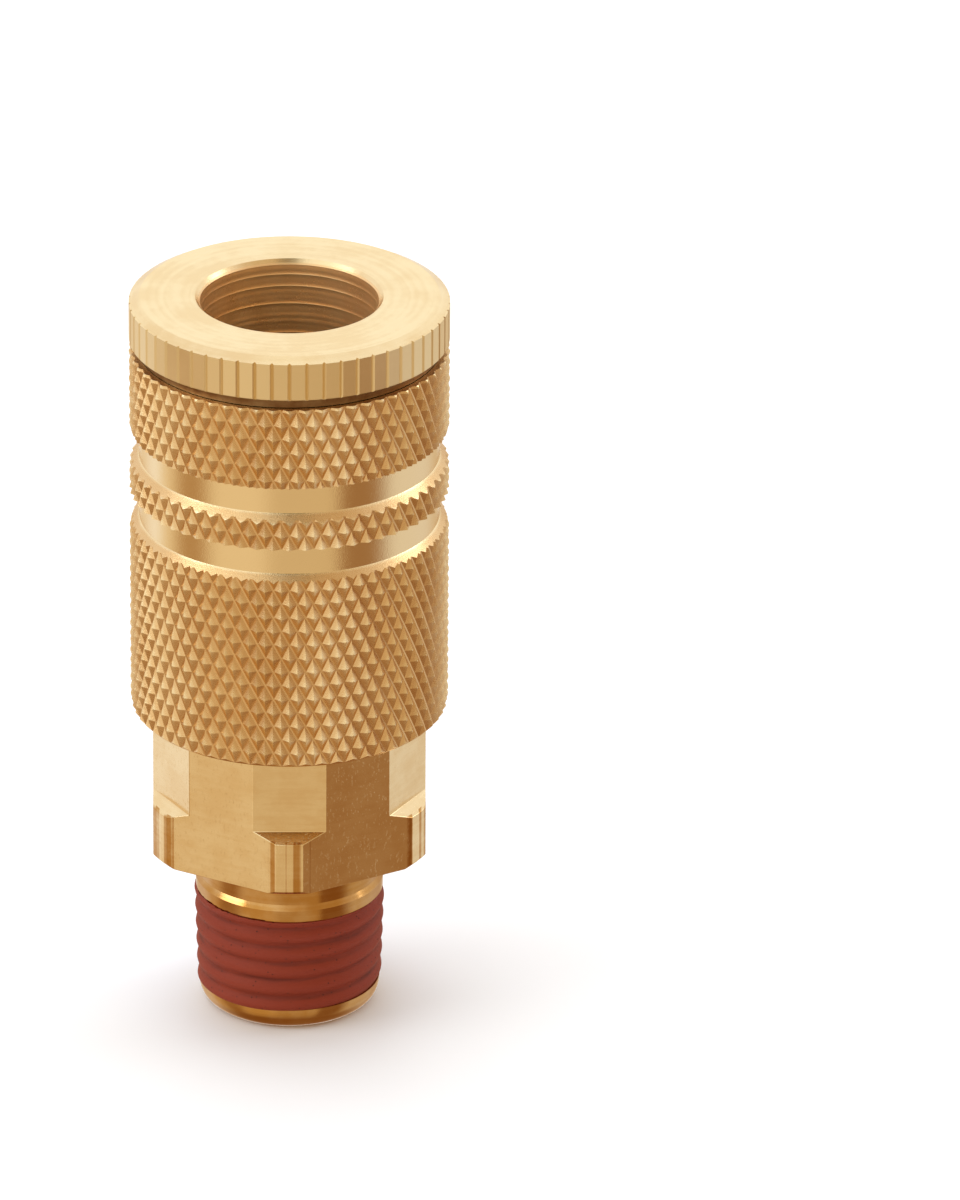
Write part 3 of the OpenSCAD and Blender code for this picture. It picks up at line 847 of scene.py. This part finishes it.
coat = drawn("red_coat", coat_outline())
bpy.ops.object.mode_set(mode="OBJECT")
modify(coat, "SCREW", axis="Z", angle=math.tau, screw_offset=THREAD_PITCH * MM,
       steps=COAT_STEPS, render_steps=COAT_STEPS, use_merge_vertices=True,
       merge_threshold=MERGE)
bpy.ops.object.mode_set(mode="EDIT")
bpy.ops.mesh.select_all(action="SELECT")
bpy.ops.mesh.remove_doubles(threshold=MERGE)
bpy.ops.mesh.bisect(plane_co=(0, 0, sealant_low.z * MM), plane_no=(0, 0, 1), clear_inner=True,
                    threshold=MERGE / 10)
bpy.ops.mesh.select_all(action="SELECT")
bpy.ops.mesh.bisect(plane_co=(0, 0, sealant_high.z * MM), plane_no=(0, 0, 1), clear_outer=True,
                    threshold=MERGE / 10)
bpy.ops.object.mode_set(mode="OBJECT")
modify(coat, "SIMPLE_DEFORM", deform_method="TAPER", deform_axis="Z",
       factor=(sealant_high.z - sealant_low.z) / (TAPER * THREAD_R))
modify(coat, "SOLIDIFY", thickness=(THREAD_ROOT - RIDGE_DEPTH) * MM, offset=-1)
bpy.ops.object.mode_set(mode="EDIT")
turn_outward()
pick(coat, lambda place: place.z > sealant_high.z - NEAR)
bpy.ops.transform.vertex_random(offset=COAT_RAGGED * MM, uniform=0.4, normal=0, seed=3)
bpy.ops.object.mode_set(mode="OBJECT")
print("coat radius", round(max(v.co.x for v in coat.data.vertices) / MM, 3))
fit(coat, "body", "red_sealant", "thread_sealant")

# %% [markdown]
# ## Springs
# A compression spring is a round wire wound round the axis, with its end turns lying flat.
# The wire's section is a small circle stood upright at the winding radius. Each step
# extrudes it and turns it a little about the axis, while it rises slowly in the end turns
# and faster between them. In the machine a spring shortens as its joint moves. Here each
# spring gets its own mesh, and the share of its length that it keeps at the joint's limit is
# printed.

# %% Wind a spring
WIRE_SIDES = 10
WIND_STEPS = 24
CLOSED_TURNS = 0.9
CLOSED_RISE = 1.06       # of the wire's diameter, for each closed turn


def wound(name, node, wire_d, pitch):
    """A spring with closed ends that fills the node's height and outer radius."""
    low, high = measured(node)
    mean_r = high.x - wire_d / 2
    closed_rise = CLOSED_TURNS * CLOSED_RISE * wire_d
    open_rise = high.z - low.z - wire_d - 2 * closed_rise
    open_turns = open_rise / pitch
    turns = round((2 * CLOSED_TURNS + open_turns) * WIND_STEPS) / WIND_STEPS
    open_turns = turns - 2 * CLOSED_TURNS

    def rise(t):
        closed = min(t, CLOSED_TURNS) + max(t - turns + CLOSED_TURNS, 0)
        opened = min(max(t - CLOSED_TURNS, 0), open_turns)
        return closed / CLOSED_TURNS * closed_rise + opened / open_turns * open_rise

    bpy.ops.object.select_all(action="DESELECT")
    bpy.ops.mesh.primitive_circle_add(
        vertices=WIRE_SIDES, radius=wire_d / 2 * MM, fill_type="NGON",
        location=(mean_r * MM, 0, (low.z + wire_d / 2) * MM), rotation=(math.pi / 2, 0, 0))
    piece = bpy.context.object
    piece.name = piece.data.name = name
    bpy.ops.object.transform_apply(location=True, rotation=True)
    bpy.ops.object.mode_set(mode="EDIT")
    bpy.ops.mesh.select_all(action="SELECT")
    for step in range(round(turns * WIND_STEPS)):
        climb = (rise((step + 1) / WIND_STEPS) - rise(step / WIND_STEPS)) * MM
        bpy.ops.mesh.extrude_region_move(TRANSFORM_OT_translate={"value": (0, 0, climb)})
        bpy.ops.transform.rotate(value=math.tau / WIND_STEPS, orient_axis="Z",
                                 center_override=(0, 0, 0))
    turn_outward()
    print(name, "has", round(turns, 2), "turns")
    return piece


joints = {joint["name"]: joint for joint in frame["joints"]}


def shortens_with(piece, joint, node):
    """Give a spring its own mesh, and print what share of its length it keeps at the joint's
    limit.
    """
    low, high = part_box(node)
    travel = max(abs(limit) for limit in joints[joint]["range_m"])
    keep = 1 - travel / (high[2] - low[2])
    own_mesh(piece)
    print(piece.name, "keeps", round(keep, 3), "of its length")


sleeve_wire = wound("sleeve_return_spring", "sleeve_spring", wire_d=1.0, pitch=2.1)
fit(sleeve_wire, "body", "spring_steel", "sleeve_spring")
shortens_with(sleeve_wire, "sleeve_slide", "sleeve_spring")
valve_wire = wound("valve_return_spring", "valve_spring", wire_d=0.8, pitch=2.5)
fit(valve_wire, "body", "spring_steel", "valve_spring")
shortens_with(valve_wire, "valve_slide", "valve_spring")

# %% [markdown]
# ## Small parts in the bore
# Looking straight down the mouth, the plug's rubber seal and the valve's nose show. The
# seal is a ring with a sloping lip, and its edges are rounded with a bevel. The nose is
# turned, and two crossed slots are milled over its end so that air can pass a closed plug.

# %% Shape the plug's seal
SEAL_ROUNDING = 0.18

seal_bore = min(v.co.xy.length for v in bpy.data.objects["plug_seal"].data.vertices) / MM
seal_thickness = seal_high.z - seal_low.z
lip = turned("plug_lip_seal", [
    (seal_bore, seal_low.z),
    (seal_high.x, seal_low.z),
    (seal_high.x, seal_high.z),
    (seal_bore + seal_thickness / 3, seal_high.z),
    (seal_bore, seal_high.z - seal_thickness / 3)])
break_edges(lip, SEAL_ROUNDING, segments=4)
fit(lip, "body", "seal_rubber", "plug_seal")

# %% Turn and slot the valve's nose
NOSE_BEVEL, NOSE_EDGE = 0.35, 0.06
SLOT_WIDTH, SLOT_DEPTH = 1.2, 0.9
POST_R, POST_GRIP = 1.52, 0.57

nose_low, nose_high = measured("valve_nose")
nose = turned("valve_tip", [
    (POST_R, nose_low.z), (nose_high.x, nose_low.z), (nose_high.x, nose_high.z - NOSE_BEVEL),
    (nose_high.x - NOSE_BEVEL, nose_high.z), (0, nose_high.z), (0, nose_low.z + POST_GRIP),
    (POST_R, nose_low.z + POST_GRIP)], sides=96)
for quarter in range(2):
    bpy.ops.object.select_all(action="DESELECT")
    bpy.ops.mesh.primitive_cube_add(size=MM, location=(0, 0, nose_high.z * MM),
                                    scale=(4 * nose_high.x, SLOT_WIDTH, 2 * SLOT_DEPTH))
    slot_mill = bpy.context.object
    slot_mill.rotation_euler.z = quarter * math.pi / 2
    bpy.ops.object.transform_apply(location=True, rotation=True, scale=True)
    combine(nose, slot_mill, "DIFFERENCE")
break_edges(nose, NOSE_EDGE)
fit(nose, "valve", "valve_brass", "valve_nose")

# %% [markdown]
# ## Brass
# Free-cutting brass is a warm yellow metal. Where a tool has burnished it, it is pale gold.
# Each surface keeps the marks of its own tool: rings on turned faces, fine lines along a
# drawn bar, grain on the knurl. The bore, where plugs rub, is duller than the outside. Some
# colours are painted light: orange in the bore and deep orange stripes on the hexagon's
# corners are painted reflection, and darker colours in the knurl's valleys, in the gap under
# the flange and on the shank under the hexagon are painted shade. One function mixes all
# this, and each brass piece has its own amounts.

# %% Mix the brasses
PALE_GOLD = (0.90, 0.73, 0.45, 1)
WARM_GOLD = (0.84, 0.64, 0.36, 1)
SATIN_GOLD = (0.85, 0.70, 0.43, 1)
# painted reflection and shade: deep orange for stripes on the hexagon's corners and for the
# shank under the hexagon
PAINTED_REFLECTION_ORANGE = (0.52, 0.26, 0.065, 1)
# painted reflection: orange for the bore, as brass reflecting brass
BORE_PAINTED_REFLECTION = (0.84, 0.57, 0.29, 1)
# painted shade: darker orange for the knurl's valleys
KNURL_VALLEY_PAINTED_SHADE = (0.76, 0.51, 0.25, 1)
# painted shade: dark brown for the gap under the flange
GAP_PAINTED_SHADE = (0.20, 0.095, 0.035, 1)
DULL_SHARE = 0.22        # how much of a dull surface scatters light instead of mirroring it
ZONE_SHARE = 0.8         # how fully a zone takes its own colour
TARNISH_SIZE, TARNISH_DULLS = 3.0, 0.08
GRAIN_SIZE, GRAIN_DULLS = 0.09, 0.12
PIT_SIZE, PIT_STRETCH, PIT_DULLS, PIT_RANGE = 0.16, 0.4, 0.1, (0.6, 0.68)
STREAK_SIZE, STREAK_SHARE = 3, 0.3
TONE_RANGE = (0.38, 0.62)


def within(value, low, high, soft=0.02):
    """1 where a value in metres lies between two places in millimetres, 0 elsewhere."""
    return (value.spread((low - soft) * MM, (low + soft) * MM)
            * (1 - value.spread((high - soft) * MM, (high + soft) * MM)))


def brass(name, shine, rings, ring_size, grain, zones=(), specks=None, dull=None):
    """Brass with tarnish, tool rings and grain. Each zone is a test of place, a colour and a
    roughness of its own. Specks are small pits where the second test of place holds, and
    the metal is dull where the third one does."""
    finish = Finish(name, Metallic=1.0)
    tarnish = finish.noise(TARNISH_SIZE, detail=4, roughness=0.6)
    streaks = finish.tool_rings(ring_size * STREAK_SIZE)
    fine = finish.noise(GRAIN_SIZE, detail=3)
    tone = (tarnish * (1 - STREAK_SHARE) + streaks * STREAK_SHARE).spread(*TONE_RANGE)
    colour = finish.mix(tone, WARM_GOLD, PALE_GOLD)
    rough = shine + (fine - 0.5) * GRAIN_DULLS + (tarnish - 0.5) * TARNISH_DULLS
    turned_marks = finish.tool_rings(ring_size)
    for where, zone_colour, zone_shine in zones:
        mask = where(finish)
        colour = finish.mix(mask, colour, finish.mix(tone, zone_colour, colour))
        colour = finish.mix(mask * ZONE_SHARE, colour, zone_colour)
        rough = rough + mask * (zone_shine - shine)
    if specks:
        on_flats = specks(finish)
        turned_marks = turned_marks * (1 - on_flats)
        along = finish.vector(finish.x, finish.y, finish.z * PIT_STRETCH)
        pits = finish.noise(PIT_SIZE, detail=3, roughness=0.6, where=along).spread(*PIT_RANGE)
        pits = pits * on_flats
        normal = finish.bump(turned_marks + pits, rings)
        rough = rough + pits * PIT_DULLS
    else:
        normal = finish.bump(turned_marks, rings)
    if dull:
        finish.paint(Metallic=1 - dull(finish) * DULL_SHARE)
    finish.paint(Base_Color=colour, Roughness=rough, Normal=finish.bump(fine, grain, normal))
    return finish


SOFT = 0.02              # how wide the change is at the edge of a zone
RIM_R = flange_r - 0.5
MOUTH_R = BORE_R + 0.1


# The bore is painted orange as a painted reflection of the brass round it, and it is made duller
# from real wear.
def in_bore(f):
    return 1 - f.radius.spread(MOUTH_R * MM, (MOUTH_R + SOFT) * MM)


# Painted shade: the gap under the flange is painted dark brown, where shade falls.
def painted_shade_in_flange_gap(f):
    return (within(f.z, flange_low - FLANGE_GAP, flange_low)
            * f.radius.spread(TUBE_R * MM, GUIDE_R * MM))


def on_rim(f):
    return (within(f.z, flange_low, mouth_z - RIM_BEVEL_HEIGHT)
            * f.radius.spread(RIM_R * MM, (RIM_R + SOFT) * MM))


def in_grooves(f):
    return 1 - f.radius.spread((floor_r + SOFT / 2) * MM, (floor_r + 2 * SOFT) * MM)


# Painted shade: the low parts of the knurl, between the diamonds, are painted a darker orange.
def painted_shade_between_diamonds(f):
    return within(f.radius, floor_r + 0.1, sleeve_r - 0.14, 0.09)


# Painted reflection: upright stripes of deep orange on the hexagon's turned corners.
def painted_corner_stripes(f):
    reflection_stripes = f.noise(0.45, detail=1, where=f.vector(f.x, f.y * 0.3, 0))
    return (f.radius.spread((corner_r - CORNER_BEVEL) * MM, (corner_r - 0.2) * MM)
            * reflection_stripes.spread(0.46, 0.62))


def above_shank(f):
    return f.z.spread((HEX_LOW - SOFT) * MM, HEX_LOW * MM)


# Painted shade: the shank below the hexagon is painted deep orange, as the dark reflection under
# the hexagon.
def painted_shade_on_shank(f):
    return 1 - above_shank(f)


# The socket's bore colour is painted reflection and its flange-gap colour is painted shade.
socket_brass = brass("socket_brass", shine=0.24, rings=0.001, ring_size=0.12, grain=0.005,
                     zones=[(in_bore, BORE_PAINTED_REFLECTION, 0.30), (painted_shade_in_flange_gap, GAP_PAINTED_SHADE, 0.5),
                            (on_rim, SATIN_GOLD, 0.37)], dull=in_bore)
sleeve_brass = brass("sleeve_brass", shine=0.26, rings=0.002, ring_size=0.2, grain=0.011,
                     zones=[(in_grooves, PALE_GOLD, 0.10),
                            (painted_shade_between_diamonds, KNURL_VALLEY_PAINTED_SHADE, 0.28)])
# The adapter's corner stripes are painted reflection and its shank colour is painted shade.
adapter_brass = brass("adapter_brass", shine=0.15, rings=0.003, ring_size=0.12, grain=0.002,
                      zones=[(painted_corner_stripes, PAINTED_REFLECTION_ORANGE, 0.12), (painted_shade_on_shank, PAINTED_REFLECTION_ORANGE, 0.15)],
                      specks=above_shank)
valve_brass = brass("valve_brass", shine=0.22, rings=0.003, ring_size=0.12, grain=0.003)
coloured(socket, socket_brass)
coloured(adapter, adapter_brass)
coloured(sleeve, sleeve_brass)
coloured(nose, valve_brass)

# %% [markdown]
# ## Sealant, steel and rubber
# The sealant is a matt, slightly chalky red with tiny pinholes. The pinholes' near-black
# colour and the darker coat in the thread's valleys are painted shade. The balls are polished
# hard steel, the washers are rolled steel, and the springs are drawn wire with a
# faint brown tint from their heat treatment. The seals are black rubber with a soft bloom.

# %% Mix the sealant
COAT_RED = (0.235, 0.031, 0.012, 1)
# the coat's own darker tone, also used as painted shade in the thread's valleys
COAT_DARK_AND_VALLEY_SHADE = (0.115, 0.016, 0.008, 1)
# painted shade: near black inside the pinholes
PINHOLE_PAINTED_SHADE = (0.03, 0.01, 0.008, 1)
HOLE_SPACING = 0.5
COAT_RELIEF = 0.02

coat_red = Finish("red_sealant", Metallic=0.0, Specular_IOR_Level=0.25)
blotches = coat_red.tool_rings(0.45, drift=0.12)
dust = coat_red.noise(0.14, detail=3)
pinholes = coat_red.node("ShaderNodeTexVoronoi", inputs={
    "Vector": coat_red.place, "Scale": 1 / (HOLE_SPACING * MM)})
# The pinholes are real relief. Their near-black colour is painted shade inside them.
hole = 1 - pinholes.spread(0.05, 0.14)
# Painted shade: this term darkens the coat in the thread's valleys. The blotches are the coat's
# own uneven tone.
ridge = ((coat_red.radius - coat_red.z / TAPER - (THREAD_R - RIDGE_DEPTH) * MM)
         / (RIDGE_DEPTH * MM))
tone = coat_red.mix((blotches * 0.9 + ridge * 0.45).spread(0.3, 0.9), COAT_DARK_AND_VALLEY_SHADE, COAT_RED)
coat_red.paint(Base_Color=coat_red.mix(hole, tone, PINHOLE_PAINTED_SHADE),
               Roughness=0.5 + dust * 0.25,
               Normal=coat_red.bump(dust - hole, COAT_RELIEF))
coloured(coat, coat_red)

# %% Mix the steels and the rubber
def steel(name, colour, tint, shine, grain):
    """Steel with a slight tint in patches, and a fine grain."""
    finish = Finish(name, Metallic=1.0)
    patches = finish.noise(1.5, detail=3)
    fine = finish.noise(0.08, detail=2)
    finish.paint(Base_Color=finish.mix(patches.spread(0.35, 0.7), colour, tint),
                 Roughness=shine + (fine - 0.5) * 0.1,
                 Normal=finish.bump(fine, grain))
    return finish


ball_steel = steel("ball_steel", colour=(0.72, 0.73, 0.75, 1), tint=(0.62, 0.63, 0.65, 1),
                   shine=0.12, grain=0.0005)
washer_steel = steel("washer_steel", colour=(0.62, 0.62, 0.63, 1), tint=(0.50, 0.49, 0.47, 1),
                     shine=0.32, grain=0.004)
wire_steel = steel("wire_steel", colour=(0.52, 0.50, 0.47, 1), tint=(0.42, 0.38, 0.33, 1),
                   shine=0.28, grain=0.003)

RUBBER_BLACK = (0.012, 0.012, 0.013, 1)
RUBBER_BLOOM = (0.035, 0.034, 0.033, 1)

rubber = Finish("seal_rubber", Metallic=0.0)
bloom = rubber.noise(0.8, detail=4)
pores = rubber.noise(0.07, detail=2)
rubber.paint(Base_Color=rubber.mix(bloom.spread(0.4, 0.75), RUBBER_BLACK, RUBBER_BLOOM),
             Roughness=0.45 + bloom * 0.2, Normal=rubber.bump(pores, 0.004))

coloured(sleeve_wire, wire_steel)
coloured(valve_wire, wire_steel)
coloured(lip, rubber)
carried_over = {"thrust_washer": washer_steel, "spring_washer": washer_steel,
                "valve_body": valve_brass, "valve_guide": valve_brass,
                "valve_seal": rubber, "body_o_ring": rubber}
for number in range(1, BALL_COUNT + 1):
    carried_over[f"locking_ball_{number}"] = ball_steel
for node, finish in carried_over.items():
    coloured(bpy.data.objects[node], finish)
print(len(bpy.data.materials), "materials")
